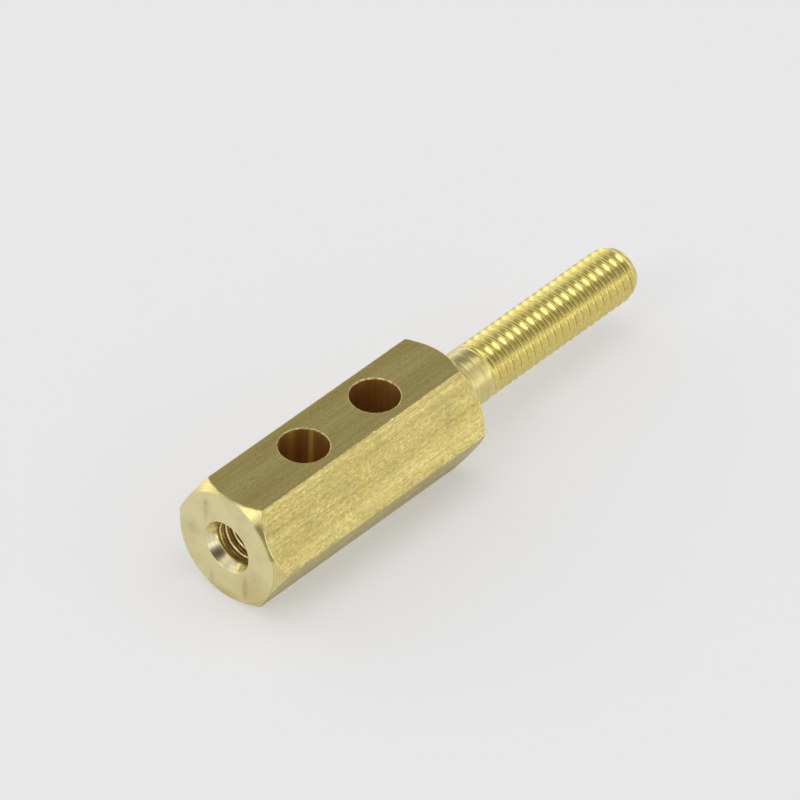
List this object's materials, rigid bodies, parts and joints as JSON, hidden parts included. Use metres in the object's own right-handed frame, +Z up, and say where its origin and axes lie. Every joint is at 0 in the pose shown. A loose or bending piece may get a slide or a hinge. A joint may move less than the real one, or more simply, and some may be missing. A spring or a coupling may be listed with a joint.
{
  "type": "hex standoff",
  "caption": "Brass hexagon standoff with a threaded stud on its shoulder end, a countersunk tapped hole in the opposite end and plain cross holes drilled through the flats.",
  "frame": {"origin": "on the turning axis, in the plane of the shoulder that seats against the next part", "axes": "+X along the turning axis from the tapped end to the stud's tip, +Z up out of the flat with the cross holes, with the part lying on the opposite flat"},
  "size_m": [0.0558, 0.0138, 0.012],
  "materials": {
    "brass": "drawn hexagon flats with fine lengthwise marks, turned ends and stud, not plated"
  },
  "bodies": {
    "root": {"hex_standoff": "brass"}
  },
  "joints": []
}
